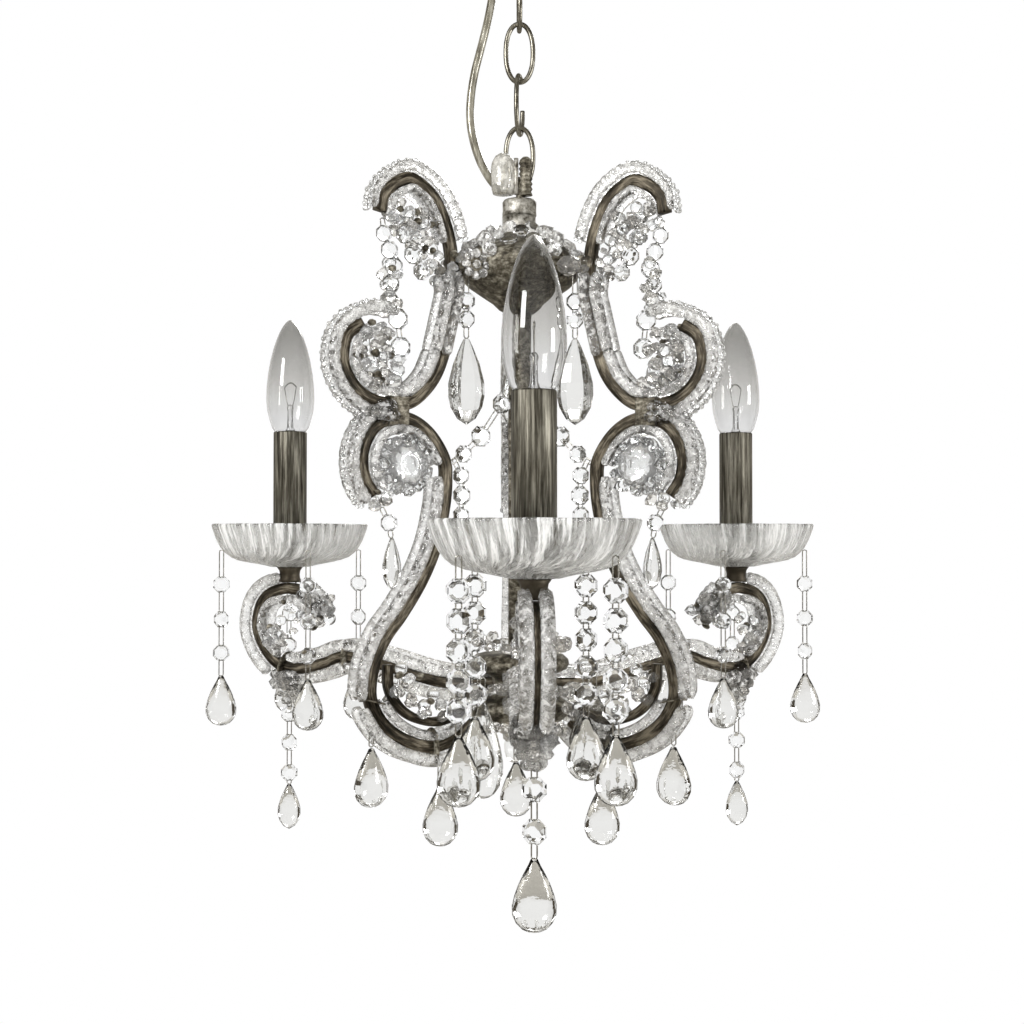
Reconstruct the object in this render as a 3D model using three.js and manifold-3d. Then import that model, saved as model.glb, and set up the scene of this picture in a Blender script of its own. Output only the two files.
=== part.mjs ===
// A small crystal chandelier with three candle arms, hung from a ceiling canopy on four chain links.
// Millimetres, +Z up. The origin is the centre of the face that lies against the ceiling.
// -Y is the front.
import * as THREE from "three";
import { mergeVertices } from "three/addons/utils/BufferGeometryUtils.js";
import Module from "manifold-3d";

// ---- driving dimensions ----
const DATUM_DROP = 415; // from the ceiling down to the datum height, just under the candle dishes' rims
const ARM_REACH = 190; // from the stem's axis to a candle's axis
const ARM_ANGLES = [0, 120, 240]; // degrees round the stem, counted from the front
const FRAME_ANGLES = [60, 180, 300];

const LINK = { length: 43, width: 22, wire: 3.8 };
const LINK_COUNT = 4;
const LINK_PLAY = 0.4; // between the wires of two linked rings
const FIRST_LINK_TOP = 381; // above the datum
const CANOPY_BOTTOM = 392; // above the datum
const RING_WIRE = 4.2; // the wire of the loops at both ends of the chain
const RING_RADIUS = 7; // to the middle of that wire
const FIXTURE_RING_STRAIGHT = 8; // the straight sides of the loop on the neck

const STRAP_WIDTH = 6; // across the scroll's plane
const STRAP_THICK = 8; // in the scroll's plane
const GLASS_GAP = 0.8; // between a strap and the glass cover round it
const GLASS_RIM = 8; // how far the cover reaches past the strap's outer edge
const GLASS_WALL = 6; // its thickness on each face of the strap
const CLIP = { size: [14, STRAP_WIDTH + 4, 19], middle: [92, 0, 79.5] }; // joins a frame's two scrolls
const BRACKET = { size: [10, STRAP_WIDTH, 9], middle: [47, 0, 179] }; // joins a frame to the bell

const STEM_RADIUS = 7.5;
const STEM_WALL = 1.5;
const STEM_BOTTOM = -119;
const STEM_TOP = 213.6;
const FIT = 0.3; // radial clearance of a tube in its hole

const DISH_RADIUS = 56.5;
const DISH_WALL = 3;
const DISH_FLOOR = 2.7; // the dish's thickness where it lies flat
const SLEEVE = { radius: 12.1, wall: 1, bottom: -17.8, top: 77 };
const SLEEVE_PLAY = 0.6; // round the lamp holder inside the sleeve
const NIPPLE_RADIUS = 5.5; // the threaded rod that clamps a candle's cup, dish and socket together
const BULB_BASE_RADIUS = 6.2;
const BULB_BASE_PLAY = 0.4;

const STRAND_RING = 50; // from a candle's axis to the strands that hang round its dish
const STRAND_ANGLES = [52, 142, 218, 308]; // counted round the candle from the way its arm points
const PIN_RADIUS = 0.9; // the wire pins between beads
const FLATNESS = 0.6; // beads and drops are this much thinner than they are wide

// The screwed plate against the ceiling, inside the canopy.
const PLATE = { thick: 3, halfLength: 50, halfWidth: 14 };
const PLATE_HOLE = { radius: 2.5, reach: 40 }; // its two screw holes, and how far each is from the middle
const CORD_WIDTH = 5.4;
const CORD_HOLE_PLAY = 0.8; // round the cord where it goes into the canopy
// The cord's route from the neck up into the canopy, as [x, height above the datum].
const CORD_ROUTE = [
  [-12, 232], [-17, 236], [-22, 243], [-27, 253], [-31, 266], [-33, 280], [-32.5, 295],
  [-30, 311], [-26, 327], [-22, 343], [-19, 358], [-17, 372], [-16, 384], [-16, 396], [-16, 403],
];

const ROUND_STEPS = { large: 18, middle: 14, small: 11, bead: 6 };
const WIRE_STEPS = { along: 20, round: 6 };

// ---- materials ----
const surface = (values) => new THREE.MeshStandardMaterial(values);
const clear = { transparent: true, opacity: 0.35 };
const metal = surface({ color: 0x5a554b, roughness: 0.45, metalness: 0.9 });
const silver = surface({ color: 0xaaa596, roughness: 0.35, metalness: 1 });
const sleeveMetal = surface({ color: 0x77736a, roughness: 0.5, metalness: 0.8 });
const glass = surface({ color: 0xe8ecec, roughness: 0.05, ...clear });
const bulbGlass = surface({ color: 0xf2f2ee, roughness: 0.03, ...clear });
const cordPlastic = surface({ color: 0xb8b3a4, roughness: 0.3, metalness: 0.2 });
const socketPlastic = surface({ color: 0xddd8cc, roughness: 0.6 });

// ---- solids ----
const wasm = await Module();
wasm.setup();

function merged(geometry) {
  geometry.deleteAttribute("normal");
  geometry.deleteAttribute("uv");
  return mergeVertices(geometry, 1e-3);
}

// A closed geometry as a manifold-3d solid, turned right side out if its profile ran the other way.
function solid(geometry) {
  const closed = merged(geometry);
  const vertProperties = closed.attributes.position.array;
  const build = (triVerts) => new wasm.Manifold(new wasm.Mesh({ numProp: 3, vertProperties, triVerts }));
  const faces = new Uint32Array(closed.index.array);
  const first = build(faces);
  if (first.volume() > 0) return first;
  for (let i = 0; i < faces.length; i += 3) [faces[i], faces[i + 1]] = [faces[i + 1], faces[i]];
  return build(faces);
}

function geometryOf(manifold) {
  const mesh = manifold.getMesh();
  const geometry = new THREE.BufferGeometry();
  geometry.setAttribute("position", new THREE.BufferAttribute(mesh.vertProperties, 3));
  geometry.setIndex(new THREE.BufferAttribute(mesh.triVerts, 1));
  geometry.computeVertexNormals();
  return geometry;
}

function piece(name, manifold, material) {
  const mesh = new THREE.Mesh(geometryOf(manifold), material);
  mesh.name = name;
  return mesh;
}

// A turned solid about +Z from [radius, height] points. A profile that leaves the axis closes on itself.
function turned(profile, steps) {
  const points = profile.map(([radius, height]) => new THREE.Vector2(radius, height));
  const onAxis = profile[0][0] === 0 && profile.at(-1)[0] === 0;
  if (!onAxis) points.push(points[0].clone());
  return solid(new THREE.LatheGeometry(points, steps).rotateX(Math.PI / 2));
}

function tube(outer, inner, bottom, top, steps) {
  return turned([[outer, bottom], [outer, top], [inner, top], [inner, bottom]], steps);
}

// A block with its middle at [x, y, z].
function block({ size, middle }) {
  return solid(new THREE.BoxGeometry(...size).translate(...middle));
}

// A smooth path in the XZ plane whose section never twists.
// The section's x lies across the plane and its y to the path's left.
class FlatPath extends THREE.CatmullRomCurve3 {
  computeFrenetFrames(steps) {
    const across = new THREE.Vector3(0, 1, 0);
    const tangents = Array.from({ length: steps + 1 }, (_, i) => this.getTangentAt(i / steps));
    return {
      tangents,
      normals: tangents.map(() => across.clone()),
      binormals: tangents.map((tangent) => new THREE.Vector3().crossVectors(tangent, across)),
    };
  }
}

function swept(route, section, steps) {
  const path = new FlatPath(route.map(([x, z]) => new THREE.Vector3(x, 0, z)), false, "centripetal");
  const shape = new THREE.Shape(section.map(([x, y]) => new THREE.Vector2(x, y)));
  return solid(new THREE.ExtrudeGeometry(shape, { steps, extrudePath: path }));
}

const strapSection = [
  [-STRAP_WIDTH / 2, -STRAP_THICK / 2],
  [STRAP_WIDTH / 2, -STRAP_THICK / 2],
  [STRAP_WIDTH / 2, STRAP_THICK / 2],
  [-STRAP_WIDTH / 2, STRAP_THICK / 2],
];

// The section of a glass cover that grips a strap from one edge.
// Side is 1 for the path's left and -1 for its right.
function coverSection(side) {
  const slot = STRAP_WIDTH / 2 + GLASS_GAP;
  const half = slot + GLASS_WALL;
  const floor = STRAP_THICK / 2 + GLASS_GAP;
  const lip = -STRAP_THICK / 2;
  const rim = floor + GLASS_RIM;
  const leftSide = [[-half, lip], [-half, floor], [-half / 2, rim]];
  const rightSide = [[half / 2, rim], [half, floor], [half, lip]];
  const inside = [[slot, lip], [slot, floor], [-slot, floor], [-slot, lip]];
  return [...leftSide, ...rightSide, ...inside].map(([x, y]) => [x, side * y]);
}

// A ring of round wire in the XZ plane, with two half circles joined by straight sides.
// Its path starts at the top, so the topmost and lowest points of the wire are true.
function wireRing(radius, straight, wire) {
  const diagonal = radius * Math.SQRT1_2;
  const quarter = (side, end) => {
    const corner = new THREE.Vector3(side * diagonal, 0, end * (diagonal + straight / 2));
    const flank = new THREE.Vector3(side * radius, 0, (end * straight) / 2);
    return [corner, flank];
  };
  const tip = (end) => new THREE.Vector3(0, 0, end * (radius + straight / 2));
  const left = [...quarter(-1, 1), ...quarter(-1, -1).reverse()];
  const right = [...quarter(1, -1), ...quarter(1, 1).reverse()];
  const { along, round } = WIRE_STEPS;
  if (straight === 0) {
    return solid(new THREE.TorusGeometry(radius, wire / 2, round, along).rotateX(Math.PI / 2));
  }
  const path = new THREE.CatmullRomCurve3([tip(1), ...left, tip(-1), ...right], true, "centripetal");
  return solid(new THREE.TubeGeometry(path, along, wire / 2, round, true));
}

// ---- chain, canopy and loops, in heights above the datum ----
const linkRise = LINK.length - 2 * LINK.wire - LINK_PLAY; // from one link's middle to the next one's
const linkMiddle = (i) => FIRST_LINK_TOP - LINK.length / 2 - i * linkRise;
const lastPivot = linkMiddle(LINK_COUNT - 1) - LINK.length / 2 + LINK.wire / 2;
const canopyRingMiddle = FIRST_LINK_TOP - LINK.wire - LINK_PLAY - RING_WIRE + RING_WIRE / 2 + RING_RADIUS;
const fixtureRingMiddle = lastPivot + LINK.wire / 2 + LINK_PLAY + RING_WIRE / 2 - RING_RADIUS;

function ceilingPlate() {
  const outline = new THREE.Shape();
  outline.absellipse(0, 0, PLATE.halfLength, PLATE.halfWidth, 0, Math.PI * 2);
  for (const side of [-1, 1]) {
    const hole = new THREE.Path().absarc(side * PLATE_HOLE.reach, 0, PLATE_HOLE.radius, 0, Math.PI * 2, true);
    outline.holes.push(hole);
  }
  const flat = { depth: PLATE.thick, bevelEnabled: false, curveSegments: 6 };
  const plate = new THREE.ExtrudeGeometry(outline, flat);
  return solid(plate.translate(0, 0, DATUM_DROP - PLATE.thick));
}

function canopy() {
  const bore = NIPPLE_RADIUS + FIT;
  const rim = DATUM_DROP;
  const floor = CANOPY_BOTTOM;
  const outside = [[bore, floor], [24, floor], [40, 395.5], [52, 402], [58, 409.5], [60, rim]];
  const inside = [[58.6, rim], [56.8, 410.3], [51.3, 403.2], [39.6, 396.9], [23.8, 393.4], [bore, 393.4]];
  const shell = turned([...outside, ...inside], ROUND_STEPS.large);
  const [cordX] = CORD_ROUTE.at(-1);
  const holeRadius = CORD_WIDTH / 2 + CORD_HOLE_PLAY;
  const hole = new THREE.CylinderGeometry(holeRadius, holeRadius, 20, 10).rotateX(Math.PI / 2);
  return shell.subtract(solid(hole.translate(cordX, 0, CANOPY_BOTTOM)));
}

function canopyLoop() {
  const screwTop = DATUM_DROP - PLATE.thick - FIT;
  const flangeTop = CANOPY_BOTTOM - 0.4;
  const shank = [[0, screwTop], [NIPPLE_RADIUS, screwTop], [NIPPLE_RADIUS, flangeTop]];
  const flange = [[9.5, flangeTop], [9.5, flangeTop - 3.2], [8.5, flangeTop - 4.4], [0, flangeTop - 4.4]];
  const screw = turned([...shank, ...flange], ROUND_STEPS.small);
  return screw.add(wireRing(RING_RADIUS, 0, RING_WIRE).translate([0, 0, canopyRingMiddle]));
}

function fixtureLoop() {
  const profile = [[0, 214.2], [11.5, 214.2], [11.5, 224.5], [9, 226.5], [0, 226.5]];
  const collar = turned(profile, ROUND_STEPS.middle);
  const ring = wireRing(RING_RADIUS, FIXTURE_RING_STRAIGHT, RING_WIRE).rotate([0, 0, 90]);
  return collar.add(ring.translate([0, 0, fixtureRingMiddle - FIXTURE_RING_STRAIGHT / 2]));
}

function cord() {
  const route = new THREE.CatmullRomCurve3(CORD_ROUTE.map(([x, z]) => new THREE.Vector3(x, 0, z)));
  const section = new THREE.Shape().absarc(0, 0, CORD_WIDTH / 2, 0, Math.PI * 2);
  return solid(new THREE.ExtrudeGeometry(section, { steps: 16, extrudePath: route, curveSegments: 4 }));
}

// ---- the middle of the fixture ----
function stem() {
  return tube(STEM_RADIUS, STEM_RADIUS - STEM_WALL, STEM_BOTTOM, STEM_TOP, ROUND_STEPS.middle);
}

function bell() {
  const bore = STEM_RADIUS + FIT;
  const bowl = [[bore, 149], [12, 151], [18, 156], [35, 168], [41.5, 179]];
  const shoulder = [[40, 184], [30, 193], [14, 199], [10.5, 203]];
  const neck = [[10.5, 213.8], [bore, 213.8], [bore, 201]];
  const underShoulder = [[13, 197.4], [29, 191.4], [38.2, 183.2]];
  const inBowl = [[39.6, 179], [34, 169.6], [17.2, 157.8], [bore, 152]];
  return turned([...bowl, ...shoulder, ...neck, ...underShoulder, ...inBowl], ROUND_STEPS.large);
}

function hub() {
  const bore = STEM_RADIUS + FIT;
  const upperFlange = [[bore, -76], [24, -76], [31, -79], [33, -84], [30, -89]];
  const lowerFlange = [[18, -92], [18, -104], [30, -107], [34, -114], [30, -121]];
  const finial = [[16, -124], [10, -131], [0, -136]];
  const profile = [[0, -119.4], [bore, -119.4], ...upperFlange, ...lowerFlange, ...finial];
  return turned(profile, ROUND_STEPS.middle);
}

// ---- scroll frames, in the XZ plane: x is the distance from the stem's axis ----
const EAR = [[104, 205], [102, 215], [94.5, 223], [84, 228], [75, 225], [66, 218], [59, 206], [54, 191]];
const SPINE = [[51, 171], [49.5, 158], [52.5, 144], [59, 117], [67, 100]];
const HOOK = [[80, 87], [92, 83.5], [108, 85], [120, 91.5], [128, 103], [129.5, 114], [126, 126], [116, 133]];
const LOWER_HOOK = [
  [108, 26], [114.5, 36], [116.5, 49], [113, 61.5], [105, 71], [92, 75.5], [79, 73], [67, 64], [58, 50],
];
const SIDE = [[56.5, 38], [58, 20], [64, -5], [74, -27], [88, -48], [100, -63], [108, -80]];
const FOOT = [[110.5, -97], [107, -109], [99, -119.5], [86, -128], [68, -133.5], [52, -130], [38.5, -119]];

function scrollFrame() {
  const upper = swept([...EAR, ...SPINE, ...HOOK], strapSection, 36);
  const lower = swept([...LOWER_HOOK, ...SIDE, ...FOOT], strapSection, 38);
  return upper.add(lower).add(block(CLIP)).add(block(BRACKET));
}

const earGlass = () => swept(EAR, coverSection(-1), 14);
const sideGlass = () => swept([...SIDE.slice(2), ...FOOT.slice(0, 4)], coverSection(1), 18);

// ---- arms, in the XZ plane ----
const ARM = [[18.8, -98], [60, -99], [105, -90], [138, -85], [157, -90.5], [173, -94.5], [188, -96]];
const ARM_CURL = [[200, -92.5], [210, -84], [217, -73], [219, -62], [215, -49], [206, -41], [192, -37.5]];
const ARM_TIP = [[178, -40], [168, -47.5], [161, -58]];

const armStrap = () => swept([...ARM, ...ARM_CURL, ...ARM_TIP], strapSection, 34);

function cup() {
  const bore = NIPPLE_RADIUS + FIT;
  return turned([[bore, -33.2], [9.5, -33.2], [8.8, -28.5], [11.8, -22.2], [bore, -22.2]], ROUND_STEPS.small);
}

function dish() {
  const bore = NIPPLE_RADIUS + FIT;
  const rim = 9;
  const outside = [[bore, -21.8], [12, -21.8], [20, -19.8], [38, -16.4], [47, -12.6], [52.4, -4]];
  const inside = outside.map(([radius, height]) => [Math.max(bore, radius - DISH_WALL), height + DISH_FLOOR]);
  const edge = [[DISH_RADIUS, rim], [DISH_RADIUS - DISH_WALL, rim]];
  return turned([...outside, ...edge, ...inside.reverse()], ROUND_STEPS.large);
}

function candleSleeve() {
  return tube(SLEEVE.radius, SLEEVE.radius - SLEEVE.wall, SLEEVE.bottom, SLEEVE.top, ROUND_STEPS.middle);
}

function socket() {
  const body = SLEEVE.radius - SLEEVE.wall - SLEEVE_PLAY;
  const bore = BULB_BASE_RADIUS + BULB_BASE_PLAY;
  const nipple = [[0, -32.6], [NIPPLE_RADIUS, -32.6], [NIPPLE_RADIUS, 28]];
  const holder = [[body, 30], [body, 73], [bore, 73], [bore, 43], [0, 43]];
  return turned([...nipple, ...holder], ROUND_STEPS.small);
}

function bulb() {
  const base = [[0, 45], [BULB_BASE_RADIUS, 46], [BULB_BASE_RADIUS, 75], [10, 77.6]];
  const belly = [[13.5, 82], [16.8, 93], [17.5, 106], [16, 122]];
  const tip = [[13, 137], [8.8, 148], [4, 156], [0, 159.5]];
  return turned([...base, ...belly, ...tip], ROUND_STEPS.small);
}

// ---- hanging crystals: heights are counted down from the pin's top ----
function bead(middle, radius) {
  const girdle = radius * 0.45;
  const above = [[PIN_RADIUS, -middle + radius], [radius, -middle + girdle]];
  const below = [[radius, -middle - girdle], [PIN_RADIUS, -middle - radius]];
  return [...above, ...below];
}

function drop(top, length, radius) {
  const shape = [[0.04, 0.16], [0.3, 0.55], [0.62, 0.98], [0.8, 0.92], [0.94, 0.5]];
  return shape.map(([down, wide]) => [radius * wide, -top - length * down]);
}

// A strand in one piece: its beads on wire pins, and the drop at its end.
function strand(beads, beadRadius, dropTop, dropLength, dropRadius) {
  const profile = [[0, 0], [PIN_RADIUS, 0]];
  for (const middle of beads) profile.push(...bead(middle, beadRadius));
  profile.push([PIN_RADIUS, -dropTop], ...drop(dropTop, dropLength, dropRadius), [0, -dropTop - dropLength]);
  return turned(profile, ROUND_STEPS.bead).scale([FLATNESS, 1, 1]);
}

const DISH_STRAND = { top: -14, beads: [20, 45, 69], bead: 7, dropTop: 86, length: 36, radius: 11 };
const FRONT_ARM_DROP = { top: -110, beads: [22, 44], bead: 7, dropTop: 57, length: 40, radius: 12 };
const SIDE_ARM_DROP = { top: -110, beads: [19, 40, 62], bead: 6.5, dropTop: 69, length: 35, radius: 8.5 };
const FRAME_DROP = { top: -147, beads: [], bead: 0, dropTop: 13, length: 39, radius: 11.5 };
const CROWN_DROP = { top: 172, beads: [35], bead: 6.5, dropTop: 44, length: 56, radius: 11.5 };
const FRAME_DROP_REACH = 60;
const CROWN_DROP_REACH = 41;

const hanging = (s) => strand(s.beads, s.bead, s.dropTop, s.length, s.radius);

// ---- assembly ----
// A group turned so that its +X points at an angle counted from the front.
function facing(degrees) {
  const group = new THREE.Group();
  group.rotation.z = THREE.MathUtils.degToRad(degrees - 90);
  return group;
}

// A strand hung at x along a group's +X. Heading is that group's turn, undone so that every strand is thin
// from front to back.
function hung(name, spec, x, heading) {
  const mesh = piece(name, hanging(spec), glass);
  mesh.position.set(x, 0, spec.top);
  mesh.rotation.z = THREE.MathUtils.degToRad(90 - heading);
  return mesh;
}

function candle(number, heading) {
  const group = new THREE.Group();
  group.position.x = ARM_REACH;
  group.add(piece(`cup_${number}`, cup(), metal));
  group.add(piece(`candle_dish_${number}`, dish(), glass));
  group.add(piece(`candle_sleeve_${number}`, candleSleeve(), sleeveMetal));
  group.add(piece(`socket_${number}`, socket(), socketPlastic));
  group.add(piece(`bulb_${number}`, bulb(), bulbGlass));
  STRAND_ANGLES.forEach((angle, i) => {
    const turn = new THREE.Group();
    turn.rotation.z = THREE.MathUtils.degToRad(angle);
    turn.add(hung(`dish_strand_${number}_${i + 1}`, DISH_STRAND, STRAND_RING, heading + angle));
    group.add(turn);
  });
  return group;
}

function suspension() {
  const group = new THREE.Group();
  group.add(piece("ceiling_plate", ceilingPlate(), silver));
  group.add(piece("canopy", canopy(), metal));
  group.add(piece("canopy_loop", canopyLoop(), silver));
  for (let i = 0; i < LINK_COUNT; i++) {
    const ring = wireRing((LINK.width - LINK.wire) / 2, LINK.length - LINK.width, LINK.wire);
    const link = piece(`chain_link_${i + 1}`, ring, silver);
    link.position.z = linkMiddle(i);
    link.rotation.z = i % 2 ? 0 : Math.PI / 2;
    group.add(link);
  }
  group.add(piece("cord", cord(), cordPlastic));
  return group;
}

function fixture() {
  const group = new THREE.Group();
  group.add(piece("fixture_loop", fixtureLoop(), metal));
  group.add(piece("bell", bell(), metal));
  group.add(piece("stem", stem(), metal));
  group.add(piece("hub", hub(), metal));
  FRAME_ANGLES.forEach((angle, i) => {
    const side = facing(angle);
    side.add(piece(`scroll_frame_${i + 1}`, scrollFrame(), metal));
    side.add(piece(`ear_glass_${i + 1}`, earGlass(), glass));
    side.add(piece(`side_glass_${i + 1}`, sideGlass(), glass));
    side.add(hung(`frame_drop_${i + 1}`, FRAME_DROP, FRAME_DROP_REACH, angle - 90));
    side.add(hung(`crown_drop_${i + 1}`, CROWN_DROP, CROWN_DROP_REACH, angle - 90));
    group.add(side);
  });
  ARM_ANGLES.forEach((angle, i) => {
    const side = facing(angle);
    side.add(piece(`arm_${i + 1}`, armStrap(), metal));
    side.add(candle(i + 1, angle - 90));
    side.add(hung(`arm_drop_${i + 1}`, i === 0 ? FRONT_ARM_DROP : SIDE_ARM_DROP, ARM_REACH, angle - 90));
    group.add(side);
  });
  return group;
}

const chandelier = new THREE.Group();
chandelier.position.z = -DATUM_DROP;
chandelier.add(suspension(), fixture());

export default chandelier;
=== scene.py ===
"""The looks of a small crystal chandelier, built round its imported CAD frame.

Metres, +Z up, and -Y is the front.
"""

import bmesh
import bpy
import math
import random
from mathutils import Matrix, Vector


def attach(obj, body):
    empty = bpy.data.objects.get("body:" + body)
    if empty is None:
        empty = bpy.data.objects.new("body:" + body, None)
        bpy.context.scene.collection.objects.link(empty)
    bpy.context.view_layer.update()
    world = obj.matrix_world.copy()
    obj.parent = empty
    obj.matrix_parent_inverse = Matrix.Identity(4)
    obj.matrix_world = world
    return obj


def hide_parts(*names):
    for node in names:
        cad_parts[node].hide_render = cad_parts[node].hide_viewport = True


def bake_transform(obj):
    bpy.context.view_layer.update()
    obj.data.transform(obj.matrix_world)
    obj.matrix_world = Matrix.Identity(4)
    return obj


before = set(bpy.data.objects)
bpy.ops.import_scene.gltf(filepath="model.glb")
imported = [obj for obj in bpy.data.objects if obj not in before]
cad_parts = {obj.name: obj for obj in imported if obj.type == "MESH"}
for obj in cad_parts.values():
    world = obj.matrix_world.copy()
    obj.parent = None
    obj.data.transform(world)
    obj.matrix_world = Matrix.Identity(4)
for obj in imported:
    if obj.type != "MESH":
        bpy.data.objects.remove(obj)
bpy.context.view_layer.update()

MM = 0.001
DATUM = -0.415  # just under the candle dishes' rims; most heights below are counted from here
ARM_ANGLES = (0, 120, 240)  # degrees round the stem, counted from the front
FRAME_ANGLES = (60, 180, 300)
ARM_REACH = 190 * MM

scene = bpy.context.scene
scene.view_settings.view_transform = "Standard"
rng = random.Random(7)


def deg(angle):
    return math.radians(angle)


def rotation(angle, axis):
    return Matrix.Rotation(deg(angle), 4, axis)


def facing(angle):
    """The turn about Z that brings +X to an angle counted from the front."""
    return rotation(angle - 90, "Z")


def shift(x, y, z):
    """A shift in millimetres."""
    return Matrix.Translation(Vector((x, y, z)) * MM)


def raised(x=0.0, y=0.0, z=0.0):
    """A shift in millimetres, with z counted from the datum."""
    return Matrix.Translation((x * MM, y * MM, z * MM + DATUM))


def placed(name, data):
    """A new object in the scene."""
    made = bpy.data.objects.new(name, data)
    scene.collection.objects.link(made)
    return made


# ---------------- camera
def make_camera():
    turn, tilt = deg(2), deg(1.07)
    distance, beside = 0.893, 0.005
    ahead = Vector((math.sin(turn), math.cos(turn), 0))
    right = Vector((math.cos(turn), -math.sin(turn), 0))
    data = bpy.data.cameras.new("camera")
    data.lens, data.sensor_width = 47.1, 36
    camera = placed("camera", data)
    camera.location = -ahead * distance - right * beside + Vector((0, 0, DATUM))
    look = ahead + Vector((0, 0, math.tan(tilt)))
    camera.rotation_euler = look.to_track_quat("-Z", "Y").to_euler()
    scene.camera = camera


# ---------------- materials
class Nodes:
    """A small helper that adds shader nodes to one node tree."""

    def __init__(self, tree):
        self.tree = tree

    def node(self, kind, **values):
        made = self.tree.nodes.new("ShaderNode" + kind)
        for key, value in values.items():
            made.inputs[key.replace("_", " ")].default_value = value
        return made

    def link(self, source, target):
        self.tree.links.new(source, target)

    def fill(self, sockets, values):
        """Gives each input a number, a colour or a link."""
        for socket, value in zip(sockets, values):
            if isinstance(value, tuple):
                socket.default_value = (*value, 1)
            elif isinstance(value, (int, float)):
                socket.default_value = value
            else:
                self.link(value, socket)

    def math(self, operation, *values):
        made = self.node("Math")
        made.operation = operation
        self.fill(made.inputs, values)
        return made.outputs[0]

    def mix(self, fac, first, second):
        made = self.node("MixRGB")
        self.fill(made.inputs, (fac, first, second))
        return made.outputs["Color"]

    def ramp(self, fac, *stops):
        made = self.node("ValToRGB")
        ramp = made.color_ramp
        while len(ramp.elements) < len(stops):
            ramp.elements.new(0.5)
        for element, (place, colour) in zip(ramp.elements, stops):
            element.position = place
            element.color = (*colour, 1)
        self.link(fac, made.inputs["Fac"])
        return made.outputs["Color"]


class Surface(Nodes):
    """A new material and the nodes that feed its surface."""

    def __init__(self, name):
        self.material = bpy.data.materials.new(name)
        self.material.use_nodes = True
        super().__init__(self.material.node_tree)
        self.surface = self.tree.nodes["Principled BSDF"]
        self.coords = self.tree.nodes.new("ShaderNodeTexCoord").outputs["Object"]

    def set(self, **values):
        for key, value in values.items():
            self.surface.inputs[key.replace("_", " ")].default_value = value

    def paint(self, socket, fac, *stops):
        """Feeds one input of the surface with a ramp over fac."""
        self.link(self.ramp(fac, *stops), self.surface.inputs[socket])

    def scaled(self, vector, x, y, z):
        mapping = self.node("Mapping")
        mapping.inputs["Scale"].default_value = (x, y, z)
        self.link(vector, mapping.inputs["Vector"])
        return mapping.outputs["Vector"]

    def stretched(self, x, y, z):
        """Object coordinates, scaled."""
        return self.scaled(self.coords, x, y, z)

    def flowing(self, x, y, z):
        """The flow stored on the points, scaled."""
        flow = self.node("Attribute")
        flow.attribute_name = "flow"
        return self.scaled(flow.outputs["Vector"], x, y, z)

    def noise(self, vector, scale, detail=4, rough=0.55):
        made = self.node("TexNoise", Scale=scale, Detail=detail, Roughness=rough)
        self.link(vector, made.inputs["Vector"])
        return made.outputs["Fac"]

    def bump(self, height, strength, distance):
        made = self.node("Bump", Strength=strength, Distance=distance)
        self.link(height, made.inputs["Height"])
        self.link(made.outputs["Normal"], self.surface.inputs["Normal"])


def grey(value):
    return (value, value, value)


def streaked_metal(name, along, scale, *tones):
    """Fine streaks over broad tarnish in three tones, dark, middle and light. Along gives the streaks'
    coordinates."""
    m = Surface(name)
    m.set(Metallic=0.7)
    streaks = m.noise(along(m), scale, 6, 0.7)
    tarnish = m.noise(m.coords, 45, 4, 0.6)
    mixed = m.math("MULTIPLY_ADD", streaks, 0.7, m.math("MULTIPLY", tarnish, 0.3))
    m.paint("Base Color", mixed, *zip((0.4, 0.5, 0.62), tones))
    m.paint("Roughness", streaks, (0.3, grey(0.36)), (0.7, grey(0.6)))
    m.bump(streaks, 0.5, 0.0008)
    return m.material


def aged_nickel():
    """Bell and hub metal: brown-grey nickel with rubbed lighter patches."""
    tones = (0.02, 0.016, 0.01), (0.13, 0.115, 0.085), (0.5, 0.47, 0.39)
    return streaked_metal("aged_nickel", lambda m: m.stretched(1, 1, 1.6), 210, *tones)


def strap_metal():
    """Scroll straps: the same nickel, streaked along each strap by the flow stored on its points."""
    tones = (0.01, 0.008, 0.004), (0.065, 0.053, 0.036), (0.32, 0.28, 0.21)
    return streaked_metal("strap_metal", lambda m: m.flowing(0.12, 1, 1), 520, *tones)


def mottled_neck():
    """The hammered neck on top of the bell: pale grey metal with dark hollows."""
    m = Surface("mottled_neck")
    m.set(Metallic=0.75)
    spots = m.noise(m.coords, 210, 6, 0.7)
    stops = (0.36, (0.07, 0.06, 0.045)), (0.48, (0.42, 0.4, 0.35)), (0.6, (0.8, 0.78, 0.73))
    m.paint("Base Color", spots, *stops)
    m.set(Roughness=0.42)
    m.bump(spots, 0.8, 0.001)
    return m.material


def brushed_sleeve():
    """Candle sleeves: grey-brown metal brushed along their length."""
    m = Surface("brushed_sleeve")
    m.set(Metallic=0.85)
    streaks = m.noise(m.stretched(1, 1, 0.05), 520, 6, 0.65)
    stops = (0.36, (0.03, 0.026, 0.019)), (0.5, (0.145, 0.135, 0.108)), (0.66, (0.43, 0.41, 0.345))
    m.paint("Base Color", streaks, *stops)
    m.paint("Roughness", streaks, (0.3, grey(0.38)), (0.7, grey(0.55)))
    m.bump(streaks, 0.35, 0.0005)
    return m.material


def chain_silver():
    """Chain and loops: warm silver wire with a dull tarnish."""
    m = Surface("chain_silver")
    m.set(Metallic=1.0)
    tarnish = m.noise(m.coords, 120, 5)
    m.paint("Base Color", tarnish, (0.35, (0.12, 0.11, 0.085)), (0.65, (0.42, 0.4, 0.34)))
    m.paint("Roughness", tarnish, (0.3, grey(0.22)), (0.7, grey(0.42)))
    m.bump(m.noise(m.coords, 700, 2), 0.12, 0.0003)
    return m.material


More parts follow.
